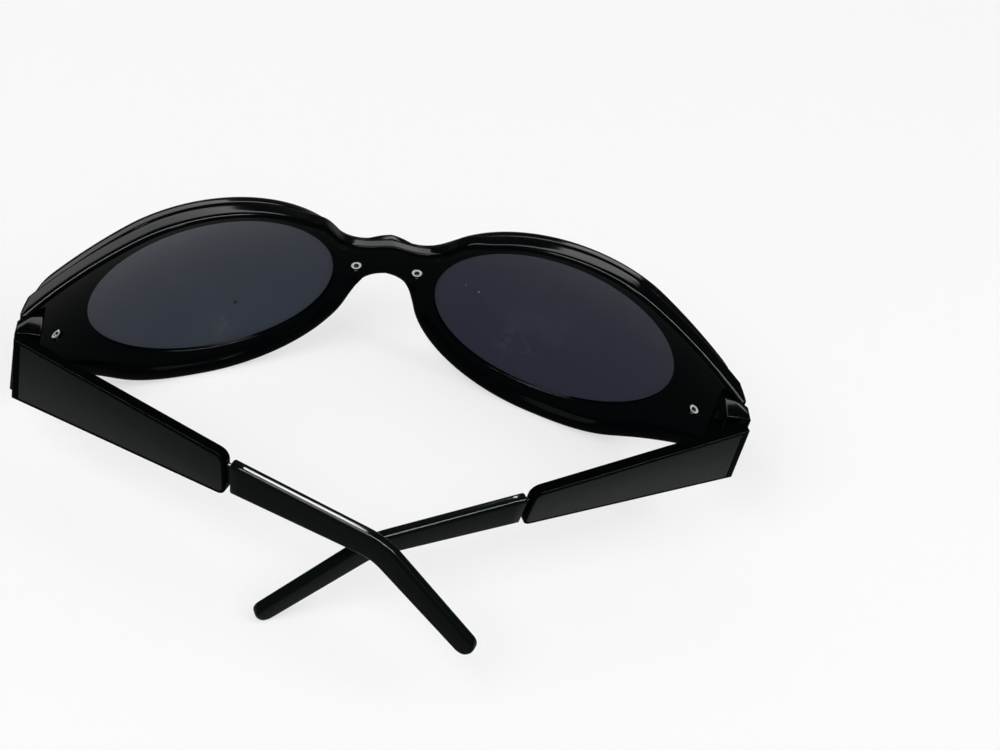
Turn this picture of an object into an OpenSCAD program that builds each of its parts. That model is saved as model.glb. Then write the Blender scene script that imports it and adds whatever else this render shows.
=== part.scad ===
// Wrap-around goggle sunglasses, resting with the temples half folded and crossed.
// The model is drawn with the front facing -Y, the wearer's left at +X and +Z up.

/* [Front] */
// Width across the end pieces
front_w = 148; // [140:1:156]
// Plan radius of the wrap, at the rear surface
wrap_r = 98; // [92:1:110]
// Radius of the upright curve, at the rear surface
dish_r = 60; // [50:1:90]
// Thickness of the rear frame
rear_t = 2.8; // [2.7:0.1:3.6]
// Thickness of the front shell
shell_t = 2.2; // [2:0.1:3]
// Width of the rim above a lens opening
rim_top_w = 3.7; // [3.5:0.1:5]
// Width of the rim below a lens opening
rim_low_w = 5.6; // [5:0.1:6.6]
// Width of the rim beside a lens opening
rim_side_w = 4.6; // [4.4:0.1:5.4]
// Fullness of the lower outer corner of each rim, 2 for a plain oval
rim_full = 2.4; // [2:0.05:2.6]
// Slope of the rim top, outer end up, in degrees
rim_slope = 4.6; // [2:0.1:6]
// Width of the raised lip along the rim
lip_w = 2.2; // [1.2:0.1:3]
// Height of the raised lip
lip_h = 0.8; // [0.3:0.1:1.2]
// Depth of the end pieces behind the rear surface of the wrap
end_block_d = 4.35; // [3.5:0.05:5.5]
// Height of the end pieces above the lens centre
end_top = 8.6; // [7.5:0.1:9.5]
// Depth of the end pieces below the lens centre
end_low = 7.8; // [7:0.1:8.5]
// Radius of the round corner of the front at each end piece
corner_r = 27; // [22:0.5:32]
// Width of the block behind each end piece
end_block_w = 5.2; // [4.8:0.1:6.5]

/* [Bridge] */
// Distance between the lens openings
bridge_w = 21.8; // [20:0.2:24]
// Lowest height of the bridge top on the rear frame, beside its middle
bridge_low = 7.8; // [7.4:0.1:8.6]
// Rise of the bridge top in the middle
bridge_rise = 1.1; // [0.4:0.1:1.6]
// Radius of the nose arch
arch_r = 6.5; // [5.5:0.1:7]
// Height of the top of the nose arch
arch_top = 0.6; // [0:0.1:1.4]
// Lowest height of the front shell beside its brow hump
brow_low = 5.8; // [5.5:0.1:7]
// Rise of the brow hump on the front shell
brow_rise = 2.75; // [1:0.05:3.5]

/* [Lenses] */
// Width of a lens opening
lens_w = 54; // [50:0.5:56]
// Height of a lens opening
lens_h = 36.2; // [33:0.2:39]
// Slope of a lens opening, outer end up, in degrees
lens_slope = 3.9; // [0:0.1:6]
// Thickness of a lens
lens_t = 2; // [1.6:0.1:2.1]
// Width of lens edge held behind the rim
lens_seat = 1.4; // [1:0.1:1.8]

/* [Screws] */
// Distance between the two bridge screws
bridge_screw_gap = 13; // [12:0.2:14]
// Height of the bridge screws
bridge_screw_z = 1.9; // [1.4:0.1:2.6]
// Distance of the outer screws inside the ends of the front
outer_screw_in = 7.8; // [7.4:0.1:8.4]
// Height of the outer screws
outer_screw_z = -3.2; // [-4:0.1:-1]
// Radius of a screw shank
screw_r = 0.7; // [0.6:0.05:0.8]
// Radius of a screw head
screw_head_r = 1.15; // [1:0.05:1.3]
// Height of a screw head
screw_head_h = 0.7; // [0.5:0.05:0.9]
// Radius of a threaded insert
insert_r = 1.3; // [1.2:0.05:1.5]
// Depth of a threaded insert for a bridge screw
insert_h = 1.6; // [1.4:0.1:1.8]
// Depth of a threaded insert for an outer screw, which ends below the round corner
outer_insert_h = 0.7; // [0.6:0.05:0.75]

/* [Hinges] */
// Distance of a hinge axis inside the outer face of the temple
axis_inset = 2.7; // [2.6:0.1:3]
// Height of the hinge barrel
barrel_h = 8; // [7:0.2:9]
// Radius of the hinge barrel
barrel_r = 1.3; // [1.2:0.05:1.4]
// Radius of the hinge screw
hinge_screw_r = 0.6; // [0.5:0.05:0.7]
// Thickness of the hinge leaves
leaf_t = 0.8; // [0.7:0.05:0.9]
// Length of the leaf in the end piece
front_leaf_l = 8; // [6:0.2:9]
// Length of the leaf on the temple
temple_leaf_l = 13; // [11:0.5:16]
// Radius of the rivets in the temple leaf
rivet_r = 0.6; // [0.5:0.05:0.7]
// Radius of a rivet head
rivet_head_r = 1; // [0.9:0.05:1.2]
// Lean of both hinge axes towards the wearer's left, in degrees
axis_lean = 4.3; // [3.8:0.1:4.8]

/* [Temples] */
// Fold of the left temple from open, in degrees
left_fold = 62.6; // [60:0.1:65]
// Fold of the right temple from open, in degrees
right_fold = 70.1; // [67:0.1:72]
// Thickness of a temple
temple_t = 2.5; // [2.4:0.1:2.8]
// Length of the wide part of a temple behind the hinge, along its top
arm_l = 45.6; // [43:0.1:48]
// Slant of the rear end of the wide part, longer below
arm_slant = 1.2; // [0:0.1:1.6]
// Height of the arm top at the hinge
arm_top = 9.4; // [9:0.1:10]
// Height of the arm top at its rear end
arm_top_rear = 3.5; // [3.3:0.1:4.4]
// Depth of the arm bottom at the hinge
arm_low = 5.9; // [5.6:0.1:6.6]
// Depth of the arm bottom at its rear end
arm_low_rear = 6.2; // [5.9:0.1:7]
// Border of the arm round its side panel
panel_border = 0.6; // [0.5:0.1:1]
// Thickness of the side panel
panel_t = 0.6; // [0.5:0.05:0.7]
// Gap between the arm and the temple tip, where the neck shows
neck_gap = 1.1; // [0.8:0.1:1.6]
// Length of the neck held in the arm
neck_in = 5; // [4:0.5:7]
// Length of the core wire held in the arm
wire_in = 16; // [12:1:20]
// Length of the tip before its bend
tip_run = 29; // [27:0.5:31]
// Slant of the front end of the tip, cut back below
tip_cut = 1.1; // [0.1:0.1:1.6]
// Length of the tip after its bend
tip_drop = 21.4; // [19:0.1:23]
// Slope of the tip before its bend, in degrees
tip_slope = 2.5; // [1.5:0.1:3.5]
// Further slope of the tip after its bend, in degrees
tip_bend = 32.5; // [30:0.5:35]
// Radius of the bend along its middle
tip_bend_r = 11; // [9:0.5:14]
// Width of the tip at its front
tip_w_front = 7.5; // [7:0.1:8]
// Width of the tip at its bend
tip_w_bend = 6; // [5.6:0.1:6.6]
// Width of the tip at its end
tip_w_end = 4.8; // [4.4:0.1:5.4]
// Height of the middle of the tip at its front, below the lens centre
tip_mid_low = 1.4; // [1:0.1:1.8]
// Thickness of the neck of the tip
neck_t = 1.1; // [1:0.05:1.2]
// Height of the neck of the tip
neck_h = 4.6; // [4:0.1:5]
// Width of the core wire
wire_w = 1.8; // [1.4:0.1:2.2]
// Thickness of the core wire
wire_t = 0.5; // [0.45:0.05:0.6]

/* [Stand] */
// Lean of the front, so that both rims and the right tip touch the floor, in degrees
stand_lean = 2.26; // [1.6:0.01:3]
// Height of the lens centre above the floor
stand_h = 23.4; // [22.8:0.01:24]
// Distance of the bridge in front of the middle of the footprint
stand_y = 42.45; // [38:0.01:46]

/* [Hidden] */
$fn = 72;

// Clearances
seam = 0.05;
fit = 0.04;
run_gap = 0.3;
knuckle_gap = 0.1;
tiny = 0.01;

// Steps along drawn curves
oval_steps = 40;
brow_steps = 12;
bend_steps = 6;
corner_steps = 6;

// Reach of the cutting solids
reach = 60;
cut_back = 34;
cut_front = 14;

// Places on the wrap
lens_angle = asin(bridge_w / 2 / wrap_r) + asin(lens_w / 2 / wrap_r);
bridge_screw_angle = asin(bridge_screw_gap / 2 / wrap_r);
half_w = front_w / 2;
outer_screw_angle = asin((half_w - outer_screw_in) / wrap_r);
end_depth = wrap_r - sqrt(pow(wrap_r, 2) - pow(half_w, 2)) + end_block_d;
end_angle = asin(half_w / wrap_r);
end_u = wrap_r * sin(end_angle - lens_angle);
brow_half = 14;
brow_hump_half = 7.4;
bridge_hump_half = 6.5;
brow_flare = 6.2;
arch_base = arch_r * 1.6;
arch_z = arch_top - arch_r;
lip_free_drop = 2.1;
front_t = rear_t + seam + shell_t;
corner_x = half_w - corner_r;
corner_y = wrap_r - sqrt(pow(wrap_r + front_t - seam - corner_r, 2) - pow(corner_x, 2));
corner_turn = atan2(corner_y - wrap_r, corner_x);
block_inset = 0.2;
lip_free = bridge_w / 2 - lip_w / 2;
lip_free_low = arch_top - lip_free_drop;
lens_back = rear_t - lens_t - seam;
shell_back = rear_t + seam;
touch_step = 2;
touch_first = 5;
touch_last = 40;

// Drive recesses of the screws
socket_r = screw_r * 0.75;
socket_h = screw_head_h * 0.6;
slot_w = 0.3;
head_room = 1.2;

// Hinge places: the axis lies behind the end piece and inside the temple's outer face
butt_gap = run_gap;
nose_l = 1;
temple_proud = 0.2;
hinge_x = half_w + temple_proud - axis_inset;
hinge_y = end_depth + nose_l + butt_gap;
inner_x = axis_inset - temple_t;
pocket_r = barrel_r + run_gap;
knuckle_h = (barrel_h - 2 * knuckle_gap) / 3;
hinge_head_h = 0.6;
hinge_head_r = 1.1;
leaf_proud = 0.3;
leaf_x = inner_x - leaf_proud;
rivet_head_h = 0.3;
rivet_depth = 1.1;
rivet_places = [temple_leaf_l * 0.45, temple_leaf_l * 0.82];

// Temple places
neck_end = arm_l + neck_gap;
tip_start = [neck_end, -tip_mid_low];
tip_arc = tip_bend_r * tip_bend * PI / 180;
tip_len = tip_run + tip_arc + tip_drop;
arm_corner_r = 1.8;
arm_corner_turn = 83;
quarter = 90;
panel_front = 0.5;
neck_wall = 0.35;
wire_x = axis_inset - panel_t - seam - neck_wall - neck_t / 2;
wire_front = arm_l - wire_in;
wire_end = tip_run + tip_arc + tip_drop * 0.75;

function turn(p, a) = [p[0] * cos(a) - p[1] * sin(a), p[0] * sin(a) + p[1] * cos(a)];
function heading(a) = [cos(a), sin(a)];

// Corner of the rim outline at the end piece, drawn in by the part of the rim left off
function end_corner(inset, up) = [end_u, up > 0 ? end_top - inset : -end_low + inset];

function oval(a, b, from, to) = [
    for (i = [0 : oval_steps])
        let (t = from + (to - from) * i / oval_steps)
        turn([a * cos(t), b * sin(t)], lens_slope)
];

// Point of the rim outline at an angle: an oval above, and a fuller shape below
function rim_point(inset, t) =
    let (
        a = lens_w / 2 + rim_side_w - inset,
        b = lens_h / 2 + (t < 180 && t > 0 ? rim_top_w : rim_low_w) - inset,
        n = cos(t) > 0 && sin(t) < 0 ? 2 / rim_full : 1,
        x = a * sign(cos(t)) * pow(abs(cos(t)), n),
        z = b * sign(sin(t)) * pow(abs(sin(t)), n)
    )
    [x, z + x * tan(rim_slope) * (1 + sin(t)) / 2];

// Angle at which a line from the end corner touches the rim outline
function touch(inset, up) =
    let (
        p = end_corner(inset, up),
        tries = [
            for (i = [touch_first : touch_last])
                let (t = up > 0 ? touch_step * i : 360 - touch_step * i, q = rim_point(inset, t) - p)
                [up * atan2(q[1], -q[0]), t]
        ],
        best = max([for (k = tries) k[0]])
    )
    [for (k = tries) if (k[0] == best) k[1]][0];

// Rim outline drawn out to the end piece
function rim_points(inset) =
    let (
        high = end_corner(inset, 1),
        low = end_corner(inset, -1),
        from = touch(inset, 1),
        to = touch(inset, -1),
        far = [reach, 0]
    )
    concat(
        [for (i = [0 : oval_steps]) rim_point(inset, from + (to - from) * i / oval_steps)],
        [low, low + far, high + far, high]
    );

// Height of the bridge top on the rear frame and of the brow on the front shell
function hump(x, low, rise, half) = abs(x) < half
    ? low + rise * (1 + cos(180 * x / half)) / 2
    : low + brow_flare * pow((abs(x) - half) / (brow_half - half), 2);
function bridge_height(x) = hump(x, bridge_low, bridge_rise, bridge_hump_half);
function brow_height(x) = hump(x, brow_low, brow_rise, brow_hump_half);

// Middle line of the temple tip, as a point and a slope, at a distance along it
function tip_slope_at(s) = s < tip_run
    ? -tip_slope
    : -tip_slope - tip_bend * min(1, (s - tip_run) / tip_arc);
function tip_mid(s) =
    let (
        bend_at = tip_start + min(s, tip_run) * heading(-tip_slope),
        a = tip_slope_at(s),
        r = tip_bend_r,
        round_part = s < tip_run
            ? [0, 0]
            : [r * (sin(-a) - sin(tip_slope)), r * (cos(a) - cos(tip_slope))],
        rest = max(0, s - tip_run - tip_arc)
    )
    bend_at + round_part + rest * heading(a);
function tip_half(s) = s < tip_run
    ? (tip_w_front + (tip_w_bend - tip_w_front) * s / tip_run) / 2
    : (tip_w_bend + (tip_w_end - tip_w_bend) * (s - tip_run) / (tip_len - tip_run)) / 2;
function tip_stations(last) = concat(
    [0, tip_run / 2],
    [for (i = [0 : bend_steps]) tip_run + tip_arc * i / bend_steps],
    [last]
);
function tip_side(s, half, side) = tip_mid(s) + side * half * heading(tip_slope_at(s) + 90);
function tip_points() =
    let (s = tip_stations(tip_len), n = len(s) - 1, a = tip_slope_at(tip_len))
    concat(
        [for (i = [0 : n]) tip_side(s[i], tip_half(s[i]), 1)],
        [for (i = [1 : corner_steps * 2 - 1])
            tip_mid(tip_len) + tip_half(tip_len) * heading(a + quarter - quarter * i / corner_steps)],
        [for (i = [n : -1 : 1]) tip_side(s[i], tip_half(s[i]), -1)],
        [tip_side(tip_cut, tip_half(tip_cut), -1)]
    );
function wire_points(half) =
    let (s = tip_stations(wire_end), n = len(s) - 1)
    concat(
        [[wire_front, -tip_mid_low + half]],
        [for (i = [0 : n]) tip_side(s[i], half, 1)],
        [for (i = [n : -1 : 0]) tip_side(s[i], half, -1)],
        [[wire_front, -tip_mid_low - half]]
    );

// Round corner of an outline, from one direction to another
function corner(mid, r, from, to) = [
    for (i = [0 : corner_steps]) mid + r * heading(from + (to - from) * i / corner_steps)
];
function arm_points(edge, front) =
    let (
        r = arm_corner_r - edge,
        back = arm_l - edge,
        high = arm_top_rear - edge,
        low = -arm_low_rear + edge,
        slant = atan2(arm_slant, high - low - 2 * r)
    )
    concat(
        [[front, -arm_low + edge]],
        corner([back + arm_slant - r, low + r], r, -quarter, slant),
        corner([back - r, high - r], r, slant, arm_corner_turn),
        [[front, arm_top - edge]]
    );

// Half of the plan of the front, round its corner to the end piece
function plan_points() =
    let (mid = [corner_x, corner_y], n = 2 * corner_steps)
    concat(
        [mid + (corner_r + reach / 2) * heading(corner_turn)],
        [for (i = [0 : n]) mid + corner_r * heading(corner_turn * (1 - i / n))],
        [[half_w, reach]]
    );

// Placing helpers
module on_floor() {
    translate([0, -stand_y, stand_h])
        rotate([stand_lean, 0, 0])
            children();
}
module both() {
    children();
    mirror([1, 0, 0]) children();
}
module side_of(side) {
    if (side > 0) {
        children();
    } else {
        mirror([1, 0, 0]) children();
    }
}
module along_wrap(angle) {
    translate([0, wrap_r, 0])
        rotate([0, 0, angle])
            translate([0, -wrap_r, 0])
                children();
}
module through_front(back, front) {
    translate([0, back, 0])
        rotate([90, 0, 0])
            linear_extrude(height = back + front)
                children();
}
module across(x_low, x_high) {
    translate([x_low, 0, 0])
        rotate([90, 0, 90])
            linear_extrude(height = x_high - x_low)
                children();
}
module at_hinge(side) {
    side_of(side)
        translate([hinge_x, hinge_y, 0])
            children();
}
module on_axis(side) {
    rotate([0, side * axis_lean, 0]) children();
}
module folded(side) {
    angle = side > 0 ? left_fold : -right_fold;
    translate([side * hinge_x, hinge_y, 0])
        rotate(a = angle, v = [sin(axis_lean), 0, cos(axis_lean)])
            side_of(side)
                children();
}

// Shell between two offsets in front of the rear surface
module wrap_shell(back, front) {
    translate([0, wrap_r, 0])
        rotate_extrude()
            intersection() {
                translate([wrap_r - dish_r, 0])
                    difference() {
                        circle(r = dish_r + front);
                        circle(r = dish_r + back);
                    }
                translate([wrap_r - dish_r / 2, -reach / 2])
                    square([dish_r, reach]);
            }
}
module wrap_solid(front) {
    translate([0, wrap_r, 0])
        rotate_extrude()
            intersection() {
                translate([wrap_r - dish_r, 0])
                    circle(r = dish_r + front);
                translate([0, -reach / 2])
                    square([wrap_r + reach, reach]);
            }
}
module rim_prism(inset) {
    along_wrap(lens_angle)
        through_front(cut_back, cut_front)
            polygon(rim_points(inset));
}
module oval_prism(grow) {
    along_wrap(lens_angle)
        through_front(cut_back, cut_front)
            polygon(oval(lens_w / 2 + grow, lens_h / 2 + grow, 0, 360 * (1 - 1 / (oval_steps + 1))));
}
// Plan of the whole front, with a round corner at each end piece
module front_plan() {
    half = plan_points();
    translate([0, 0, -reach])
        linear_extrude(height = 2 * reach)
            polygon(concat(
                [[0, -reach]],
                half,
                [for (i = [len(half) - 1 : -1 : 0]) [-half[i][0], half[i][1]]]
            ));
}
module bridge_prism() {
    through_front(cut_front, cut_front)
        polygon(concat(
            [for (i = [-brow_steps : brow_steps])
                let (x = brow_half * i / brow_steps)
                [x, bridge_height(x)]],
            [[arch_base, arch_z], [-arch_base, arch_z]]
        ));
}
module brow_prism() {
    through_front(cut_front, cut_front)
        polygon(concat(
            [for (i = [-2 * brow_steps : 2 * brow_steps])
                let (x = brow_half * i / brow_steps / 2)
                [x, brow_height(x)]],
            [[arch_base, arch_z], [-arch_base, arch_z]]
        ));
}
module nose_arch() {
    translate([0, 0, arch_z])
        rotate([90, 0, 0])
            cylinder(r = arch_r, h = reach, center = true);
}
module end_block() {
    translate([half_w - end_block_w, end_depth / 2, -end_low + block_inset])
        cube([end_block_w + reach, end_depth / 2, end_top + end_low - 2 * block_inset]);
}
// Rear side of the rear frame, sunk inside the lips and at the bridge
module rear_hollow() {
    wrap_solid(-lip_h);
    intersection() {
        wrap_solid(0);
        union() {
            both() rim_prism(lip_w);
            translate([-lip_free, -reach, lip_free_low])
                cube([2 * lip_free, 2 * reach, reach]);
        }
    }
}

// Screw places, with the head at the rear surface and the shank pointing forward
module at_bridge_screws() {
    both()
        along_wrap(bridge_screw_angle)
            translate([0, 0, bridge_screw_z])
                rotate([90, 0, 0])
                    children();
}
module at_outer_screws() {
    both()
        along_wrap(outer_screw_angle)
            translate([0, 0, outer_screw_z])
                rotate([90, 0, 0])
                    children();
}
module screw_hole() {
    translate([0, 0, -run_gap])
        cylinder(r = screw_r + fit, h = cut_front);
    translate([0, 0, -head_room])
        cylinder(r = screw_head_r + fit, h = head_room + run_gap + screw_head_h);
}
module screw(deep) {
    difference() {
        union() {
            translate([0, 0, run_gap])
                cylinder(r = screw_head_r, h = screw_head_h);
            translate([0, 0, run_gap + screw_head_h - tiny])
                cylinder(r = screw_r, h = shell_back + deep - run_gap - screw_head_h - seam);
        }
        translate([0, 0, run_gap - tiny])
            cylinder(r = socket_r, h = socket_h, $fn = 6);
    }
}
module insert_hole(deep) {
    cylinder(r = insert_r + fit, h = shell_back + deep + seam);
}
module insert(deep) {
    translate([0, 0, shell_back])
        difference() {
            cylinder(r = insert_r, h = deep);
            translate([0, 0, -tiny])
                cylinder(r = screw_r + fit, h = deep + 2 * tiny);
        }
}

// Front pieces
module rear_frame() {
    color([0.03, 0.03, 0.04])
        on_floor()
            difference() {
                intersection() {
                    wrap_solid(rear_t);
                    front_plan();
                    union() {
                        difference() {
                            union() {
                                both() rim_prism(0);
                                bridge_prism();
                            }
                            rear_hollow();
                        }
                        both() end_block();
                    }
                }
                both() {
                    oval_prism(0);
                    intersection() {
                        wrap_shell(lens_back - seam, rear_t + run_gap);
                        oval_prism(lens_seat + 2 * seam);
                    }
                }
                nose_arch();
                at_bridge_screws() screw_hole();
                at_outer_screws() screw_hole();
                for (side = [1, -1])
                    at_hinge(side)
                        on_axis(side) {
                            front_leaf_slot();
                            barrel_pocket();
                        }
            }
}
module front_shell() {
    color([0.04, 0.04, 0.05])
        on_floor()
            difference() {
                intersection() {
                    wrap_shell(shell_back, shell_back + shell_t);
                    front_plan();
                    union() {
                        both() rim_prism(0);
                        brow_prism();
                    }
                }
                both() oval_prism(0);
                nose_arch();
                at_bridge_screws() insert_hole(insert_h);
                at_outer_screws() insert_hole(outer_insert_h);
            }
}
module lens(side) {
    color([0.2, 0.21, 0.25])
        on_floor()
            side_of(side)
                intersection() {
                    wrap_shell(lens_back, lens_back + lens_t);
                    oval_prism(lens_seat);
                }
}
module bridge_screws() {
    color([0.75, 0.75, 0.78])
        on_floor()
            at_bridge_screws() screw(insert_h);
}
module outer_screws() {
    color([0.75, 0.75, 0.78])
        on_floor()
            at_outer_screws() screw(outer_insert_h);
}
module bridge_inserts() {
    color([0.75, 0.62, 0.3])
        on_floor()
            at_bridge_screws() insert(insert_h);
}
module outer_inserts() {
    color([0.75, 0.62, 0.3])
        on_floor()
            at_outer_screws() insert(outer_insert_h);
}

// Hinges: two knuckles on the end piece, one on the temple, and a screw through them
module front_leaf_slot() {
    translate([-leaf_t / 2 - seam, -front_leaf_l - seam, -barrel_h / 2 - seam])
        cube([leaf_t + 2 * seam, front_leaf_l, barrel_h + 2 * seam]);
}
module barrel_pocket() {
    translate([0, 0, -barrel_h / 2 - run_gap])
        cylinder(r = pocket_r, h = barrel_h + hinge_head_h + 2 * run_gap);
}
module bore_clear() {
    translate([0, 0, -barrel_h])
        cylinder(r = hinge_screw_r + fit, h = 2 * barrel_h);
}
module front_hinge(side) {
    color([0.6, 0.6, 0.63])
        on_floor()
            at_hinge(side)
                on_axis(side)
                    difference() {
                        union() {
                            translate([-leaf_t / 2, -front_leaf_l, -barrel_h / 2])
                                cube([leaf_t, front_leaf_l, barrel_h]);
                            for (end = [1, -1])
                                translate([0, 0, end * (barrel_h - knuckle_h) / 2 - knuckle_h / 2])
                                    cylinder(r = barrel_r, h = knuckle_h);
                        }
                        bore_clear();
                        translate([0, 0, -knuckle_h / 2 - knuckle_gap])
                            cylinder(r = pocket_r, h = knuckle_h + 2 * knuckle_gap);
                    }
}
module hinge_screw(side) {
    color([0.75, 0.75, 0.78])
        on_floor()
            at_hinge(side)
                on_axis(side)
                    difference() {
                        union() {
                            translate([0, 0, -barrel_h / 2])
                                cylinder(r = hinge_screw_r, h = barrel_h + 2 * seam);
                            translate([0, 0, barrel_h / 2 + seam])
                                cylinder(r = hinge_head_r, h = hinge_head_h);
                        }
                        translate([-hinge_head_r, -slot_w / 2, barrel_h / 2 + hinge_head_h / 2])
                            cube([2 * hinge_head_r, slot_w, hinge_head_h]);
                    }
}
module temple_hinge(side) {
    color([0.6, 0.6, 0.63])
        on_floor()
            folded(side)
                on_axis(side)
                    difference() {
                        union() {
                            translate([leaf_x, 0, -knuckle_h / 2])
                                cube([leaf_t, pocket_r + tiny, knuckle_h]);
                            translate([leaf_x, pocket_r, -barrel_h / 2])
                                cube([leaf_t, temple_leaf_l - pocket_r, barrel_h]);
                            translate([0, 0, -knuckle_h / 2])
                                cylinder(r = barrel_r, h = knuckle_h);
                        }
                        bore_clear();
                        at_rivets() rivet_hole();
                    }
}
module temple_leaf_seat(side) {
    on_axis(side) {
        translate([leaf_x - run_gap, 0, -barrel_h / 2 - seam])
            cube([leaf_t + run_gap + seam, temple_leaf_l + seam, barrel_h + 2 * seam]);
        at_rivets() rivet_hole();
    }
}

// Rivets that hold the temple leaf, along the leaf
module at_rivets() {
    for (t = rivet_places)
        translate([leaf_x, t, 0])
            rotate([0, 90, 0])
                children();
}
module rivet_hole() {
    cylinder(r = rivet_r + fit, h = leaf_t + rivet_depth + seam);
}
module temple_rivets(side) {
    color([0.7, 0.7, 0.72])
        on_floor()
            folded(side)
                on_axis(side)
                    at_rivets()
                        union() {
                            translate([0, 0, -2 * tiny])
                                cylinder(r = rivet_r, h = leaf_t + rivet_depth + 2 * tiny);
                            translate([0, 0, -rivet_head_h - tiny])
                                cylinder(r = rivet_head_r, h = rivet_head_h);
                        }
}

// Temple pieces, drawn open along +Y from the hinge axis, with +X outward
module temple_arm(side) {
    color([0.03, 0.03, 0.035])
        on_floor()
            folded(side)
                difference() {
                    across(inner_x, axis_inset)
                        polygon(arm_points(0, -nose_l));
                    translate([-reach, -reach, -reach])
                        cube([reach, reach, 2 * reach]);
                    on_axis(side) barrel_pocket();
                    temple_leaf_seat(side);
                    across(axis_inset - panel_t - seam, axis_inset + 1)
                        polygon(arm_points(panel_border, panel_front));
                    neck_block(fit);
                    across(wire_x - wire_t / 2 - fit, wire_x + wire_t / 2 + fit)
                        polygon(wire_points(wire_w / 2 + fit));
                }
}
module temple_panel(side) {
    color([0.16, 0.17, 0.16])
        on_floor()
            folded(side)
                across(axis_inset - panel_t, axis_inset)
                    polygon(arm_points(panel_border + seam, panel_front + seam));
}

// Neck of the tip, held in the rear end of the arm
module neck_block(grow) {
    translate([wire_x - neck_t / 2 - grow, arm_l - neck_in - grow, -tip_mid_low - neck_h / 2 - grow])
        cube([neck_t + 2 * grow, neck_in + neck_gap + grow + 1, neck_h + 2 * grow]);
}
module temple_tip(side) {
    color([0.02, 0.02, 0.025])
        on_floor()
            folded(side)
                difference() {
                    union() {
                        across(inner_x, axis_inset)
                            polygon(tip_points());
                        neck_block(0);
                    }
                    across(wire_x - wire_t / 2 - fit, wire_x + wire_t / 2 + fit)
                        polygon(wire_points(wire_w / 2 + fit));
                }
}
module core_wire(side) {
    color([0.6, 0.6, 0.62])
        on_floor()
            folded(side)
                across(wire_x - wire_t / 2, wire_x + wire_t / 2)
                    polygon(wire_points(wire_w / 2));
}

front_shell();
rear_frame();
lens(1);  // lens_left
lens(-1);  // lens_right
bridge_screws();
outer_screws();
bridge_inserts();
outer_inserts();
front_hinge(1);  // front_hinge_left
front_hinge(-1);  // front_hinge_right
hinge_screw(1);  // hinge_screw_left
hinge_screw(-1);  // hinge_screw_right
temple_arm(1);  // temple_arm_left
temple_panel(1);  // temple_panel_left
temple_hinge(1);  // temple_hinge_left
temple_rivets(1);  // temple_rivets_left
core_wire(1);  // core_wire_left
temple_tip(1);  // temple_tip_left
temple_arm(-1);  // temple_arm_right
temple_panel(-1);  // temple_panel_right
temple_hinge(-1);  // temple_hinge_right
temple_rivets(-1);  // temple_rivets_right
core_wire(-1);  // core_wire_right
temple_tip(-1);  // temple_tip_right
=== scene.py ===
# %% [markdown]
# Goggle sunglasses, dressed in Blender. The real object is a pair of wraparound
# sunglasses: two curved black layers screwed together round two oval lenses, and
# two temples that fold on small steel hinges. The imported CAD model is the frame
# that every piece sits in, so this lesson only adds looks and finer shapes.

# %% Load the frame
import math

import bmesh
import bpy
from mathutils import Matrix, Vector


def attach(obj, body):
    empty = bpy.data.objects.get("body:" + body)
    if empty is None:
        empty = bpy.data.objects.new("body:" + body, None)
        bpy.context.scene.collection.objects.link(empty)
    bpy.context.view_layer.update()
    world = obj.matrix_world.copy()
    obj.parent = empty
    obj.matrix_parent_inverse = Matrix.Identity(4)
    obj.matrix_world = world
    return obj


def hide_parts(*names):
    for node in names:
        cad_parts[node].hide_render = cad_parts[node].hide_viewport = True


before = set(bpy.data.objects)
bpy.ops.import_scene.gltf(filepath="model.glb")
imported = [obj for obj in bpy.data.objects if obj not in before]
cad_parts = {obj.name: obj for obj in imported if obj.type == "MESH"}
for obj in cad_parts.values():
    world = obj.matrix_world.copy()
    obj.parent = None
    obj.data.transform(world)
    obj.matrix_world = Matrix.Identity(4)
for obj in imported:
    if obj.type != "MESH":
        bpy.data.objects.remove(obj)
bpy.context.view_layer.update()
print("CAD nodes:", len(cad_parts))

# %% [markdown]
# All the shapes below are written in millimetres in the front's own frame: +X to
# the wearer's left, +Z up, and the bridge at the origin. One matrix stands the
# sunglasses on the floor, in the same way as the CAD does.

# %% Sizes of the front
WRAP_R = 98.0  # radius of the curve round the face
DISH_R = 60.0  # radius of the curve from top to bottom
REAR_T = 2.8
SHELL_T = 2.2
SEAM = 0.05
HALF_W = 74.0
CORNER_R = 27.0
LENS_A, LENS_B = 27.0, 18.1  # half axes of the lens opening
LENS_SLOPE = math.radians(3.9)
LENS_T = 2.0
LENS_SEAT = 1.4
RIM_TOP, RIM_LOW, RIM_SIDE = 3.7, 5.6, 4.6
RIM_FULL = 2.4  # power of the oval at the lower outer corner
RIM_SLOPE = math.radians(4.6)
END_TOP, END_LOW = 8.6, 7.8
END_DEPTH = 38.1
BRIDGE_W = 21.8
BRIDGE_LOW, BRIDGE_RISE, BRIDGE_HUMP = 7.8, 1.1, 6.5
BROW_LOW, BROW_RISE, BROW_HUMP = 5.8, 2.75, 7.4
BROW_FLARE = 6.2
BROW_HALF = 14.0
ARCH_R = 6.5
ARCH_TOP = 0.6
LENS_ANGLE = math.asin(BRIDGE_W / 2 / WRAP_R) + math.asin(LENS_A / WRAP_R)
FRONT_T = REAR_T + SEAM + SHELL_T
LENS_BACK = REAR_T - LENS_T - SEAM
print("lens angle", round(math.degrees(LENS_ANGLE), 2))

# %% Stand on the floor
STAND_LEAN = math.radians(2.26)
STAND_AT = (0, -42.45, 23.4)
ON_FLOOR = (
    Matrix.Scale(0.001, 4)
    @ Matrix.Translation(STAND_AT)
    @ Matrix.Rotation(STAND_LEAN, 4, "X")
)
print("lens centre height", round(ON_FLOOR.translation.z, 4), "m")

# %% [markdown]
# The hinges: each temple is drawn open, along +Y from its hinge axis with +X
# outward, and then mirrored for the right side and swung about the leaning axis.

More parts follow.
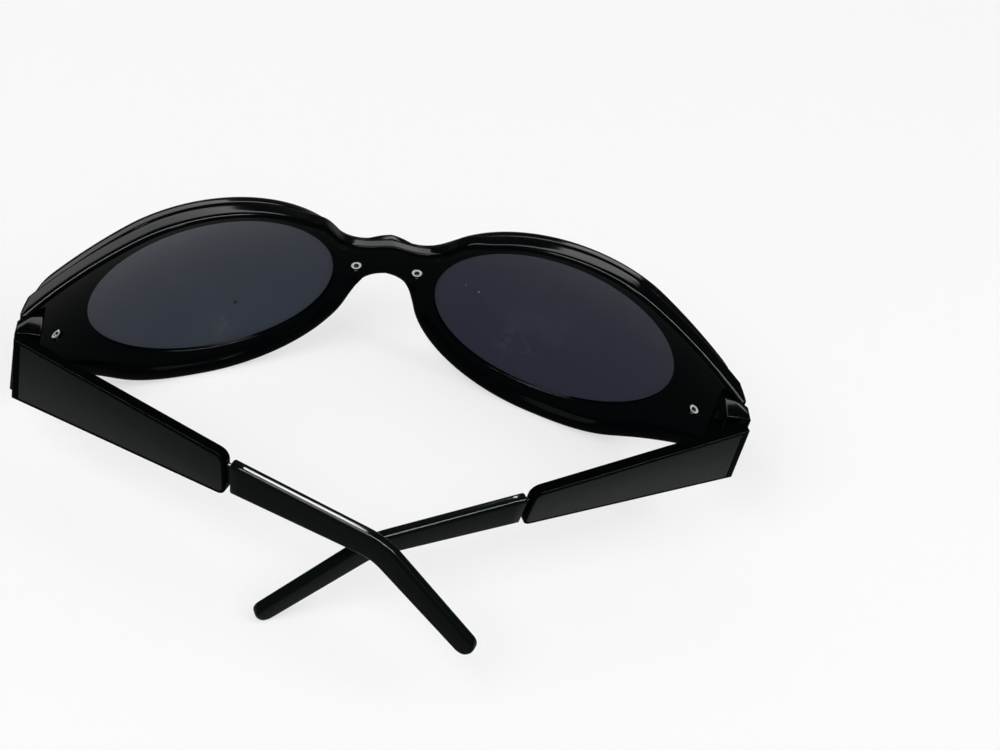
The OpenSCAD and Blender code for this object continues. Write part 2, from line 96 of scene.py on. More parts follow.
# %% Place of a temple
AXIS_LEAN = math.radians(4.3)
AXIS_INSET = 2.7
AXIS_BEHIND = 1.3  # from the end piece to the axis
TEMPLE_PROUD = 0.2
TEMPLE_T = 2.5
HINGE = Vector((HALF_W + TEMPLE_PROUD - AXIS_INSET, END_DEPTH + AXIS_BEHIND, 0))
FOLD = {1: math.radians(62.6), -1: math.radians(-70.1)}
SIDES = {1: "left", -1: "right"}


def temple_place(side):
    """Matrix from the open temple, in mm, to its folded place, in m."""
    axis = Vector((math.sin(AXIS_LEAN), 0, math.cos(AXIS_LEAN)))
    flip = Matrix.Diagonal((side, 1, 1, 1))
    place = Matrix.Translation((side * HINGE.x, HINGE.y, HINGE.z))
    return ON_FLOOR @ place @ Matrix.Rotation(FOLD[side], 4, axis) @ flip


print("left hinge", [round(v, 4) for v in temple_place(1).translation])

# %% [markdown]
# The camera stands where the photographer's did, behind and above the glasses.
# Its place was fitted to the lens ovals, the screws and the temples, so it is
# slightly rolled. The lens is a short telephoto.

# %% Camera
CAM_AT = Vector((59.46, 341.32, 315.69))
CAM_BACK = Vector((0.18332, 0.69544, 0.69481)).normalized()
CAM_AZ = math.radians(165.233)
CAM_ROLL = math.radians(-17.170)
CAM_LENS = 79.2
CAM_SENSOR = 36


def make_camera():
    data = bpy.data.cameras.new("camera")
    data.lens = CAM_LENS
    data.sensor_width = CAM_SENSOR
    data.clip_start = 0.01
    cam = bpy.data.objects.new("camera", data)
    bpy.context.scene.collection.objects.link(cam)
    right = Vector((math.cos(CAM_AZ), math.sin(CAM_AZ), 0))
    up = CAM_BACK.cross(right)
    c, s = math.cos(CAM_ROLL), math.sin(CAM_ROLL)
    turned = (c * right - s * up, s * right + c * up, CAM_BACK)
    lean = Matrix.Rotation(STAND_LEAN, 3, "X")
    basis = lean @ Matrix(turned).transposed()
    cam.matrix_world = Matrix.Translation(ON_FLOOR @ CAM_AT) @ basis.to_4x4()
    bpy.context.scene.camera = cam
    return cam


camera = make_camera()
print("camera at", [round(v, 3) for v in camera.matrix_world.translation])

# %% [markdown]
# The studio: a pale sky and two soft lamps light everything at a plain level.
# Polished black shows its shape by reflections alone, so four strips add only
# those: a long one overhead for the beads round the rims, one in front for the
# tops of the temple tips, a small one high behind for the ends of the beads, and
# a long dim one in front for the top faces of the two layers.

# %% Sky and lamps
SKY_STRENGTH = 0.45
MIDDLE = (0, 0, 0)
ABOVE_TIPS = (0, 0.03, 0.02)
LAMPS = (
    # name, place, aim, size, power, reflections only
    ("soft_left", (0.45, 0.35, 0.8), MIDDLE, (0.5, 0.5), 3.8, False),
    ("soft_right", (-0.55, 0.1, 0.7), MIDDLE, (0.4, 0.4), 2.0, False),
    ("strip_over", (-0.1, 0.0, 0.8), MIDDLE, (0.1, 1.1), 90, True),
    ("strip_tips", (-0.08, -0.58, 0.68), ABOVE_TIPS, (0.1, 0.16), 14, True),
    ("strip_back", (-0.17, 0.27, 0.82), MIDDLE, (0.12, 0.12), 6, True),
    ("strip_front", (0.12, -0.6, 0.56), MIDDLE, (1.5, 0.2), 38, True),
)
scene = bpy.context.scene
scene.view_settings.view_transform = "Standard"
world = bpy.data.worlds.new("studio")
scene.world = world
world.use_nodes = True
sky = world.node_tree.nodes["Background"].inputs
sky["Color"].default_value = (1, 1, 1, 1)
sky["Strength"].default_value = SKY_STRENGTH


def add_lamp(name, at, aim, size, power, gloss_only):
    """A soft rectangular lamp at a place, aimed at another, sizes in metres."""
    data = bpy.data.lights.new(name, "AREA")
    data.shape = "RECTANGLE"
    data.size, data.size_y = size
    data.energy = power
    lamp = bpy.data.objects.new(name, data)
    scene.collection.objects.link(lamp)
    lamp.location = at
    away = Vector(at) - Vector(aim)
    lamp.rotation_euler = away.to_track_quat("Z", "Y").to_euler()
    if gloss_only:
        lamp.visible_diffuse = False
        lamp.visible_transmission = False
    return lamp


lamps = {row[0]: add_lamp(*row) for row in LAMPS}
print("lamps:", len(lamps))

# %% [markdown]
# Shader sums are written as plain expressions. This small class wraps a socket,
# so that `a * 0.5 + 0.1` adds the Math nodes by itself.

# %% Shader helper
class Num:
    """A socket that carries a number, with operators that add Math nodes."""

    def __init__(self, shader, socket):
        self.shader, self.socket = shader, socket

    def _math(self, operation, a, b):
        return self.shader.num("Math", {"operation": operation}, {0: a, 1: b})

    def __add__(self, other):
        return self._math("ADD", self, other)

    __radd__ = __add__

    def __mul__(self, other):
        return self._math("MULTIPLY", self, other)

    __rmul__ = __mul__


class Shader:
    """One material with its Principled node."""

    def __init__(self, name, **plain):
        self.material = bpy.data.materials.new(name)
        self.material.use_nodes = True
        self.tree = self.material.node_tree
        self.body = self.tree.nodes["Principled BSDF"]
        for socket, value in plain.items():
            self.body.inputs[socket.replace("_", " ")].default_value = value

    def node(self, kind, settings, values):
        made = self.tree.nodes.new("ShaderNode" + kind)
        for key, value in settings.items():
            setattr(made, key, value)
        for key, value in values.items():
            self.feed(made.inputs[key], value)
        return made

    def feed(self, socket, value):
        if isinstance(value, Num):
            value = value.socket
        if isinstance(value, bpy.types.NodeSocket):
            self.tree.links.new(value, socket)
        else:
            socket.default_value = value

    def set(self, name, value):
        self.feed(self.body.inputs[name], value)

    def num(self, kind, settings, values, out=0):
        return Num(self, self.node(kind, settings, values).outputs[out])

    def place(self):
        return self.node("TexCoord", {}, {}).outputs["Object"]

    def along(self, axis):
        """One coordinate of the place in the object's space: 0 is x and 2 is z."""
        return self.num("SeparateXYZ", {}, {0: self.place()}, out=axis)

    def noise(self, scale, detail=3, rough=0.5):
        values = {"Scale": scale, "Detail": detail, "Roughness": rough}
        return self.num("TexNoise", {}, {"Vector": self.place(), **values})

    def step(self, value, low, high, to_low=0.0, to_high=1.0):
        """A smooth step from one level at low to another at high."""
        values = {"Value": value, "From Min": low, "From Max": high}
        values.update({"To Min": to_low, "To Max": to_high})
        return self.num("MapRange", {"interpolation_type": "SMOOTHSTEP"}, values)

    def mix(self, factor, a, b):
        """A blend of two colours. The node keeps its colour sockets at 6 and 7."""
        made = self.node("Mix", {"data_type": "RGBA"}, {0: factor, 6: a, 7: b})
        return made.outputs[2]

    def spot(self, centre, reach, edge):
        """1 inside a round spot in the object's space, 0 outside, softly."""
        values = {0: self.place(), 1: centre}
        away = self.num("VectorMath", {"operation": "DISTANCE"}, values, out=1)
        return self.step(away, reach * edge, reach, 1.0, 0.0)

    def bump(self, height, strength, distance):
        values = {"Height": height, "Strength": strength, "Distance": distance}
        self.set("Normal", self.node("Bump", {}, values).outputs[0])


print("shader helper ready")

# %% [markdown]
# Polished black plastic. It is almost black with a trace of blue green, and very
# smooth. Handling leaves a faint haze, so the roughness varies a little over
# some centimetres, and tiny dust specks lift the colour here and there.

# %% Glossy black
DUST_SHARE = 0.35


def make_gloss(name, color, shine, haze=0.06):
    gloss = Shader(name, IOR=1.46, Specular_IOR_Level=shine)
    smudge = gloss.step(gloss.noise(60, 4, 0.6), 0.35, 0.75, haze, haze * 2.2)
    gloss.set("Roughness", smudge + gloss.noise(900, 2, 0.5) * 0.02)
    speck = gloss.step(gloss.noise(2600, 1, 0.4), 0.74, 0.80, 0.0, DUST_SHARE)
    pale = tuple(c * 3 + 0.006 for c in color[:3]) + (1,)
    gloss.set("Base Color", gloss.mix(speck, color, pale))
    gloss.bump(gloss.noise(240, 2, 0.5), 0.02, 0.0002)
    return gloss.material


SHELL_BLACK = make_gloss("shell_gloss_black", (0.0010, 0.0014, 0.0018, 1), 0.02)
FRAME_BLACK = make_gloss("frame_gloss_black", (0.0004, 0.0009, 0.0011, 1), 0.015)
ARM_BLACK = make_gloss("arm_gloss_black", (0.0008, 0.0013, 0.0013, 1), 0.005)
TIP_BLACK = make_gloss("tip_gloss_black", (0.0012, 0.0024, 0.0023, 1), 0.03, haze=0.05)
print("black plastics ready")

# %% [markdown]
# The side panel is a matte dark grey with a trace of green. A fine moulded grain
# gives it its dull look. Light is painted into its colour by height: a painted
# sheen makes it palest low down, and painted shade makes it almost black along its top.

# %% Matte panel
PANEL_TOP_Z, PANEL_LOW_Z = 0.034, 0.016
PANEL_SHADED_TONE = (0.0010, 0.0030, 0.0025, 1)
PANEL_LIT_TONE = (0.0165, 0.0200, 0.0190, 1)


def make_matte():
    matte = Shader("panel_matte_grey", IOR=1.46, Specular_IOR_Level=0.06)
    broad = matte.noise(70, 3, 0.55)
    # Painted sheen and shade: the colour goes from the shaded tone at the top to the
    # lit tone low down.
    tone_mix = matte.step(matte.along(2), PANEL_TOP_Z, PANEL_LOW_Z) * 0.85
    tone_mix = tone_mix + matte.step(broad, 0.3, 0.7) * 0.12
    matte.set("Base Color", matte.mix(tone_mix, PANEL_SHADED_TONE, PANEL_LIT_TONE))
    matte.set("Roughness", matte.step(broad, 0.2, 0.8, 0.5, 0.62))
    matte.bump(matte.noise(2400, 2, 0.6), 0.10, 0.00005)
    return matte.material


PANEL_GREY = make_matte()
print("panel ready")

# %% [markdown]
# The lenses are dark grey-blue and let little light through. Broad soft smudges
# in their coating show as a paler haze, with a few specks of dust and one chip.
# The left one is given a paler tone, which is painted light: it faces the light more.

# %% Tinted lens
LENS_SMUDGES = (
    ((0.0327, -0.0354, 0.0099), 0.006),
    ((-0.0304, -0.0370, 0.0130), 0.006),
)
LENS_DUST = (
    ((-0.0203, -0.0411, 0.0236), 0.0003),
    ((-0.0173, -0.0417, 0.0246), 0.0002),
)
LENS_CHIP = ((0.0307, -0.0374, 0.0153), 0.0006)
LENS_RIGHT_TONE = (0.0100, 0.0140, 0.0330, 1)
LENS_LEFT_LIT_TONE = (0.0235, 0.0310, 0.0490, 1)
SMEAR_TONE = (0.050, 0.055, 0.070, 1)
DUST_TONE = (0.12, 0.14, 0.18, 1)
CHIP_TONE = (0.002, 0.002, 0.004, 1)


def make_tint():
    plain = {"IOR": 1.5, "Transmission_Weight": 0.12, "Specular_IOR_Level": 0.15}
    tint = Shader("lens_dark_tint", **plain)
    broad = tint.step(tint.noise(38, 3, 0.5), 0.52, 0.74)
    smear = broad * tint.step(tint.noise(120, 3, 0.55), 0.3, 0.75, 0.1, 0.5)
    for centre, reach in LENS_SMUDGES:
        streaks = tint.step(tint.noise(260, 3, 0.6), 0.42, 0.66)
        smear = smear + tint.spot(centre, reach, 0.1) * streaks
    # Painted light: the left lens gets the paler, lit tone.
    left = tint.step(tint.along(0), -0.02, 0.02)
    tone = tint.mix(left, LENS_RIGHT_TONE, LENS_LEFT_LIT_TONE)
    tone = tint.mix(smear * 0.5, tone, SMEAR_TONE)
    for centre, reach in LENS_DUST:
        tone = tint.mix(tint.spot(centre, reach, 0.6), tone, DUST_TONE)
    tone = tint.mix(tint.spot(*LENS_CHIP, 0.6), tone, CHIP_TONE)
    tint.set("Base Color", tone)
    tint.set("Roughness", smear * 0.2 + 0.06)
    return tint.material


LENS_TINT = make_tint()
print("lens ready")

# %% [markdown]
# Steel and brass for the small parts: turned and stamped metal with a fine
# scratch pattern in the roughness.

# %% Metals
SCRATCH = 0.15


def make_metal(name, color, rough):
    metal = Shader(name, Metallic=1.0)
    tone_mix = metal.noise(1500, 3, 0.6)
    dull = tuple(c * 0.7 for c in color[:3]) + (1,)
    metal.set("Base Color", metal.mix(tone_mix, color, dull))
    metal.set("Roughness", tone_mix * SCRATCH + rough)
    metal.bump(tone_mix, 0.08, 0.00002)
    return metal.material


SCREW_STEEL = make_metal("screw_steel", (0.62, 0.63, 0.65, 1), 0.22)
HINGE_STEEL = make_metal("hinge_steel", (0.55, 0.55, 0.57, 1), 0.3)
INSERT_BRASS = make_metal("insert_brass", (0.70, 0.52, 0.24, 1), 0.25)
print("metals ready")

# %% Materials on the CAD nodes that stay
KEPT = {"bridge_inserts": INSERT_BRASS, "outer_inserts": INSERT_BRASS}
for side_name in SIDES.values():
    KEPT["front_hinge_" + side_name] = HINGE_STEEL
    KEPT["hinge_screw_" + side_name] = SCREW_STEEL
    KEPT["temple_hinge_" + side_name] = HINGE_STEEL
    KEPT["temple_rivets_" + side_name] = SCREW_STEEL
    KEPT["core_wire_" + side_name] = HINGE_STEEL
for node_name, material in KEPT.items():
    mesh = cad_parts[node_name].data
    mesh.materials.clear()
    mesh.materials.append(material)
print("CAD nodes dressed:", len(KEPT))

# %% [markdown]
# The floor is a large pale sheet on no body, so it isn't part of the object.
# The rays that look at it see it lifted towards white, as in a cut-out photo, and
# the light that it throws back on the glasses stays plain.

# %% Floor
FLOOR_LIFT = 0.6
FLOOR_HALF = 6
LOOKING_RAYS = ("Is Camera Ray", "Is Glossy Ray", "Is Transmission Ray")


def show_white(pale):
    """Lift the floor towards white for the rays that look at it, not its shadow."""
    rays = pale.node("LightPath", {}, {}).outputs
    camera_ray, glossy_ray, clear_ray = (rays[name] for name in LOOKING_RAYS)
    seen = Num(pale, camera_ray) + glossy_ray + clear_ray
    glow = pale.node("Emission", {}, {"Color": (1, 1, 1, 1), "Strength": 1.0})
    blend = pale.node("MixShader", {}, {"Fac": seen * FLOOR_LIFT})
    pale.feed(blend.inputs[1], pale.body.outputs[0])
    pale.feed(blend.inputs[2], glow.outputs[0])
    surface = pale.tree.nodes["Material Output"].inputs["Surface"]
    pale.feed(surface, blend.outputs[0])


def make_floor():
    pale = Shader("floor_pale", Roughness=0.9, Specular_IOR_Level=0.1)
    tones = (0.93, 0.93, 0.93, 1), (0.95, 0.95, 0.95, 1)
    pale.set("Base Color", pale.mix(pale.noise(3, 2), *tones))
    show_white(pale)
    bm = bmesh.new()
    bmesh.ops.create_grid(bm, x_segments=4, y_segments=4, size=FLOOR_HALF)
    mesh = bpy.data.meshes.new("floor")
    bm.to_mesh(mesh)
    bm.free()
    mesh.materials.append(pale.material)
    floor = bpy.data.objects.new("floor", mesh)
    scene.collection.objects.link(floor)


make_floor()
print("floor ready")

# %% [markdown]
# Every new piece ends the same way: its mesh is moved to its place, its faces
# are pointed outwards, and it rides on a body and stands for its CAD node.

# %% Finish a piece
SMOOTH = math.radians(38)  # an edge that turns more than this stays crisp


def finish_piece(bm, name, place, material, body, node):
    bmesh.ops.transform(bm, matrix=place, verts=bm.verts)
    bmesh.ops.remove_doubles(bm, verts=bm.verts, dist=2e-7)
    bmesh.ops.recalc_face_normals(bm, faces=bm.faces)
    for edge in bm.edges:
        sharp = len(edge.link_faces) == 2 and edge.calc_face_angle(0) > SMOOTH
        edge.smooth = not sharp
    for face in bm.faces:
        face.smooth = True
    mesh = bpy.data.meshes.new(name)
    bm.to_mesh(mesh)
    bm.free()
    mesh.materials.append(material)
    piece = bpy.data.objects.new(name, mesh)
    scene.collection.objects.link(piece)
    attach(piece, body)
    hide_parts(node)
    print(name, len(mesh.polygons), "faces")
    return piece


# %% [markdown]
# A few bmesh steps come back in several pieces, so they are written once.

# %% Mesh steps
def extrude(bm, faces, shift):
    """Extrude faces and move what is new by a vector."""
    out = bmesh.ops.extrude_face_region(bm, geom=faces)
    new = [v for v in out["geom"] if isinstance(v, bmesh.types.BMVert)]
    bmesh.ops.translate(bm, verts=new, vec=shift)


def round_off(bm, geom, radius, steps, affect="EDGES"):
    """Round edges, or the corners of a flat face."""
    return bmesh.ops.bevel(
        bm, geom=geom, affect=affect, offset=radius, segments=steps,
        profile=0.5, material=-1,
    )


def spin_profile(bm, profile, steps):
    """Spin a line of (radius, height) points round Z."""
    verts = [bm.verts.new((r, 0, h)) for r, h in profile]
    edges = [bm.edges.new(pair) for pair in zip(verts, verts[1:])]
    bmesh.ops.spin(
        bm, geom=verts + edges, axis=(0, 0, 1), cent=(0, 0, 0), steps=steps,
        angle=2 * math.pi, use_merge=True,
    )


def edges_where(bm, test):
    """Edges whose two ends both pass a test of their sideways place."""
    return [e for e in bm.edges if all(test(v.co.x) for v in e.verts)]


def grid_step(vert, n, m):
    """Column and row of a vertex in a new grid of n by m steps."""
    return round((vert.co.x + 0.5) * n), round((vert.co.y + 0.5) * m)


print("mesh steps ready")

# %% [markdown]
# The front is a doubly curved shell: it wraps round the face and also curves
# from top to bottom. A place on it is given by a sideways distance u from the
# lens centre, a height z, and a depth d towards the front.

# %% Places on the wrap
def reach_at(z, d):
    """Plan radius of the shell at a height and depth."""
    return WRAP_R - DISH_R + math.sqrt((DISH_R + d) ** 2 - z * z)


def wrap_point(u, z, d):
    r = reach_at(z, d)
    a = LENS_ANGLE + math.asin(u / r)
    return Vector((r * math.sin(a), WRAP_R - r * math.cos(a), z))


def side_of_x(x, z, d):
    """Sideways distance u of a place that is given by its x."""
    r = reach_at(z, d)
    return r * math.sin(math.asin(x / r) - LENS_ANGLE)


CORNER_X = HALF_W - CORNER_R
CORNER_REACH = WRAP_R + FRONT_T - SEAM - CORNER_R
CORNER_Y = WRAP_R - math.sqrt(CORNER_REACH**2 - CORNER_X**2)


def past_corner(p):
    """True where the round corner limits the plan, and not the wide arc."""
    out, ahead = p.x - CORNER_X, CORNER_Y - p.y
    return ahead > 0 and out * (WRAP_R - CORNER_Y) > ahead * CORNER_X


def outside_plan(p, room):
    """True past the round corner of the front, seen from above."""
    reach = math.hypot(p.x - CORNER_X, p.y - CORNER_Y)
    return past_corner(p) and reach > CORNER_R - room


PLAN_ROOM = 0.02


def to_plan(p):
    """Draw a place that is outside the round corner back to it."""
    if past_corner(p):
        away = Vector((p.x - CORNER_X, p.y - CORNER_Y))
        if away.length > CORNER_R - PLAN_ROOM:
            away *= (CORNER_R - PLAN_ROOM) / away.length
            p.x, p.y = CORNER_X + away.x, CORNER_Y + away.y
    p.x = min(p.x, HALF_W - PLAN_ROOM)
    return p


def pull_in(u, z, d):
    """Sideways distance drawn in until the place is inside the round corner."""
    while outside_plan(wrap_point(u, z, d), 0.05):
        u -= 0.02
    return u


print("outer end at", [round(v, 1) for v in wrap_point(42.6, 0, 0)])

# %% [markdown]
# The outline of one half of a layer: over the bridge, along the rim to the end
# piece, back below the lens, and up the nose arch to the middle again. The rim
# is an oval that is fuller at its lower outer corner.

# %% Rim outline
def rim_point(t):
    a = LENS_A + RIM_SIDE
    b = LENS_B + (RIM_TOP if math.sin(t) > 0 else RIM_LOW)
    c, s = math.cos(t), math.sin(t)
    n = 2 / RIM_FULL if c > 0 and s < 0 else 1
    x = a * math.copysign(abs(c) ** n, c)
    z = b * math.copysign(abs(s) ** n, s)
    return x, z + x * math.tan(RIM_SLOPE) * (1 + s) / 2


def touch_angle(corner, up):
    """Angle at which a line from the end corner touches the rim outline."""
    best = (-10, 0)
    for degrees in range(10, 82, 2):
        t = math.radians(degrees) * up
        x, z = rim_point(t)
        best = max(best, (up * math.atan2(z - corner[1], corner[0] - x), t))
    return best[1]


END_U = WRAP_R * math.sin(math.asin(HALF_W / WRAP_R) - LENS_ANGLE)
TOUCH_TOP = touch_angle((END_U, END_TOP), 1)
TOUCH_LOW = touch_angle((END_U, -END_LOW), -1)
print("rim left at", round(math.degrees(TOUCH_TOP)), round(math.degrees(TOUCH_LOW)))


# %% Lines
def hump(x, low, rise, half):
    """Height of a line with a hump in its middle that flares out at its ends."""
    if x < half:
        return low + rise * (1 + math.cos(math.pi * x / half)) / 2
    return low + BROW_FLARE * ((x - half) / (BROW_HALF - half)) ** 2


def bridge_height(x):
    return hump(x, BRIDGE_LOW, BRIDGE_RISE, BRIDGE_HUMP)


def brow_height(x):
    return hump(x, BROW_LOW, BROW_RISE, BROW_HUMP)


def resample(points, gap):
    """Even steps along a line, keeping its two ends."""
    lengths = [math.dist(a[:2], b[:2]) for a, b in zip(points, points[1:])]
    count = max(2, round(sum(lengths) / gap))
    out, n, gone = [], 0, 0.0
    for i in range(count + 1):
        at = sum(lengths) * i / count
        while n < len(lengths) - 1 and gone + lengths[n] < at:
            gone += lengths[n]
            n += 1
        f = min(1, (at - gone) / max(lengths[n], 1e-9))
        out.append(tuple(a + (b - a) * f for a, b in zip(points[n], points[n + 1])))
    return out


def smooth_line(points, times):
    for _ in range(times):
        trios = zip(points, points[1:], points[2:])
        inner = [tuple((a + 2 * b + c) / 4 for a, b, c in zip(*trio)) for trio in trios]
        points = [points[0]] + inner + [points[-1]]
    return points


def soften_share(points, times):
    """Spread the change from the bridge's direction to the rim's along the line."""
    shares = smooth_line([(p[2],) for p in points], times)
    return [(p[0], p[1], share) for p, (share,) in zip(points, shares)]


print("bridge and brow heights:", bridge_height(0), brow_height(0))

# %% Half outline
MID_D = 1.4  # depth at which the outlines are laid out
OUTLINE_GAP = 0.7
ROUNDS = (0, 0.03, 0.1, 0.22, 0.4, 0.62, 0.9, 1.25, 1.65, 2.1)
RIM_STEPS, LOW_STEPS, BRIDGE_STEPS, ARCH_STEPS = 60, 90, 20, 14
ARCH_FROM = 12  # degrees at which the nose arch takes over from the rim
CROSS_ROOM = 0.6  # left free on both sides of where the bridge meets the rim
CROSS_BLEND = (-4.5, 5.5)  # the stretch that is blended there
LINE_SMOOTH, CROSS_SMOOTH, SHARE_SMOOTH = 6, 30, 40


def over_bridge(height):
    """Top line from the middle to the rim's last point, and where the two meet."""
    span = math.pi - TOUCH_TOP
    rim = [rim_point(math.pi - span * i / RIM_STEPS) for i in range(RIM_STEPS + 1)]
    rim_x = [wrap_point(u, z, MID_D).x for u, z in rim]
    meets = (x for (u, z), x in zip(rim, rim_x) if z > height(min(x, BROW_HALF)))
    cross_x = next(meets)
    top = []
    for i in range(BRIDGE_STEPS + 1):
        x = (cross_x - CROSS_ROOM) * i / BRIDGE_STEPS
        top.append((side_of_x(x, height(x), MID_D), height(x), 1.0))
    beyond = [p + (0.0,) for p, x in zip(rim, rim_x) if x > cross_x + CROSS_ROOM]
    return top + beyond, cross_x


def under_lens():
    """Underside from the end piece to the middle, with the nose arch."""
    span = math.radians(180 - ARCH_FROM) + TOUCH_LOW
    low = []
    for i in range(LOW_STEPS + 1):
        low.append(rim_point(TOUCH_LOW - span * i / LOW_STEPS) + (0.0,))
    for i in range(ARCH_STEPS + 1):
        a = math.radians(ARCH_FROM + (90 - ARCH_FROM) * i / ARCH_STEPS)
        x, z = ARCH_R * math.cos(a), ARCH_TOP - ARCH_R + ARCH_R * math.sin(a)
        low.append((side_of_x(x, z, MID_D), z, 1.0))
    return low


def outline(height, end_depth):
    """Top, end, underside and middle of half a layer: lists of (u, z, bridge share)."""
    top, cross_x = over_bridge(height)
    end_u = pull_in(END_U, 0, end_depth)
    corners = [(end_u, END_TOP, 0.0), (end_u, -END_LOW, 0.0)]
    top = smooth_line(resample(top + corners[:1], OUTLINE_GAP), LINE_SMOOTH)
    x_along = [wrap_point(p[0], p[1], MID_D).x for p in top]
    first, last = (
        next(i for i, x in enumerate(x_along) if x > cross_x + reach)
        for reach in CROSS_BLEND
    )
    top[first:last] = smooth_line(top[first:last], CROSS_SMOOTH)
    top = soften_share(top, SHARE_SMOOTH)
    low = resample(corners[1:] + under_lens(), OUTLINE_GAP)
    low = soften_share(smooth_line(low, LINE_SMOOTH), SHARE_SMOOTH)
    side = resample(corners, OUTLINE_GAP)
    foot = low[-1][1]
    tall = top[0][1] - foot
    steps = list(ROUNDS) + [tall / 2] + [tall - e for e in reversed(ROUNDS)]
    middle = [(side_of_x(0, foot + e, MID_D), foot + e, 1.0) for e in steps]
    return top, side, low, middle


for part in outline(bridge_height, 0):
    print(len(part), [round(v, 1) for v in part[0]], [round(v, 1) for v in part[-1]])

# %% [markdown]
# A layer is one grid bent into a ring: its columns run round the half outline,
# and its rows run round the section, over the rear face, down the lens opening,
# and back over the front face and the outer wall. Rows near the outline follow
# it at fixed distances, and rows near the lens follow the oval.

# %% Columns of a layer
TOP, END, LOW, INNER = range(4)
MITRE_LIMIT = 0.4


def oval_point(u, z):
    """Point of the lens opening facing an outline point, with its outward normal."""
    c, s = math.cos(LENS_SLOPE), math.sin(LENS_SLOPE)
    p, q = c * u + s * z, c * z - s * u
    t = math.atan2(q / LENS_B, p / LENS_A)
    p, q = LENS_A * math.cos(t), LENS_B * math.sin(t)
    n = Vector((math.cos(t) / LENS_A, math.sin(t) / LENS_B)).normalized()
    turn = Matrix.Rotation(LENS_SLOPE, 2)
    return turn @ Vector((p, q)), turn @ n


def columns(parts):
    """Each column: outline point, inward mitre, bridge share, lens point and normal,
    and the part of the outline that it is on."""
    line = [(p, TOP) for p in parts[TOP]] + [(p, END) for p in parts[END][1:]]
    line += [(p, LOW) for p in parts[LOW][1:]]
    line += [(p, INNER) for p in parts[INNER][1:-1]]
    made = []
    for i, (p, kind) in enumerate(line):
        here = Vector(p[:2])
        back = here - Vector(line[i - 1][0][:2])
        ahead = Vector(line[(i + 1) % len(line)][0][:2]) - here
        n1 = Vector((back.y, -back.x)).normalized()
        n2 = Vector((ahead.y, -ahead.x)).normalized()
        mitre = (n1 + n2) / max(MITRE_LIMIT, 1 + n1.dot(n2))
        lens, normal = oval_point(*p[:2])
        made.append((here, mitre, p[2], lens, normal, kind))
    return made


def edge_place(column, e, parts):
    """Place at a distance inside the outline, kept from crossing at the corners."""
    here, mitre, share, _, _, kind = column
    top, side, low, middle = parts
    u_mid = side_of_x(e, here.y, MID_D)
    place = here + mitre * e
    if kind == INNER:
        place.y = min(max(place.y, middle[0][1] + e), middle[-1][1] - e)
        place.x = side_of_x(e, place.y, MID_D)
    elif share > 0.99 and here.x < u_mid:
        place = Vector((0, top[0][1] - e if kind == TOP else low[-1][1] + e))
        place.x = side_of_x(e, place.y, MID_D)
    if kind == END:
        place.y = min(max(place.y, side[-1][1] + e), side[0][1] - e)
    place.x = min(place.x, side[0][0] - e)
    return place


def edge_distance(place, lines):
    """True distance from a place to the visible edges of the layer."""
    best = 99.0
    x, y = place
    for line in lines:
        for a, b in line:
            if abs(a[0] - x) > best + 1 and abs(a[1] - y) > best + 1:
                continue
            du, dz = b[0] - a[0], b[1] - a[1]
            f = ((x - a[0]) * du + (y - a[1]) * dz) / (du * du + dz * dz)
            f = min(1, max(0, f))
            best = min(best, math.hypot(a[0] + f * du - x, a[1] + f * dz - y))
    return best


print("columns:", len(columns(outline(bridge_height, 0))))

# %% [markdown]
# The depth of each row comes from the true distance to the visible edges. It
# rounds the polished edges and raises the bead that runs round each rim. The
# bead widens below the lens, gets narrow at the nose and ends at the bridge.

# %% Depth of the faces
LIP_H = 0.8
CREST_TOP, FOOT_TOP = 0.95, 1.8
CREST_WIDER, FOOT_WIDER = 1.35, 1.5
CREST_NOSE, FOOT_NOSE, NOSE_WIDER = 1.1, 2.1, 1.2
# Where a change of the bead starts, and the way until it is done.
WIDER_Z, NOSE_X, ARCH_Z = (2, -8), (16, -6), (-6, -8)
TOP_START_X, LOW_START_X, LOW_START_Z = (8.6, 3.4), (11, 3), (-1.4, -0.7)
EDGE_DROP = 0.5
REAR_LENS_ROUND, FRONT_LENS_ROUND = 0.22, 0.6
FRAME_ROUND, SEAM_ROUND, SHELL_ROUND = 0.2, 0.25, 1.0


def ease(x):
    x = min(1, max(0, x))
    return x * x * (3 - 2 * x)


def ramp(value, start, way):
    return ease((value - start) / way)


def quarter_round(distance, radius):
    """Drop of a rounded edge at a distance from it, as a share of its radius."""
    if distance >= radius:
        return 0.0
    return 1 - math.sqrt(max(0.0, 1 - (1 - distance / radius) ** 2))


def bead_shape(x, z):
    """Distance of the bead's crest from the edge, of its foot, and its height."""
    low = ramp(z, *WIDER_Z)
    crest, foot = CREST_TOP + CREST_WIDER * low, FOOT_TOP + FOOT_WIDER * low
    if z > WIDER_Z[0]:
        return crest, foot, LIP_H * ramp(x, *TOP_START_X)
    nose, wider = ramp(x, *NOSE_X), NOSE_WIDER * ramp(z, *ARCH_Z)
    crest += nose * (CREST_NOSE + wider - crest)
    foot += nose * (FOOT_NOSE + wider - foot)
    return crest, foot, LIP_H * max(ramp(x, *LOW_START_X), ramp(z, *LOW_START_Z))


def rear_depth(e, g, x, z):
    crest, foot, height = bead_shape(x, z)
    depth = -height * ease((foot - e) / (foot - crest))
    depth += (height + EDGE_DROP) * quarter_round(e, crest)
    return depth + REAR_LENS_ROUND * quarter_round(g, REAR_LENS_ROUND)


def frame_depth(face, e, g, x, z):
    """Depth on the rear frame's rear face (0) to its front face (1)."""
    rear = rear_depth(e, g, x, z)
    front = REAR_T - FRAME_ROUND * quarter_round(e, FRAME_ROUND)
    return rear + (front - rear) * face


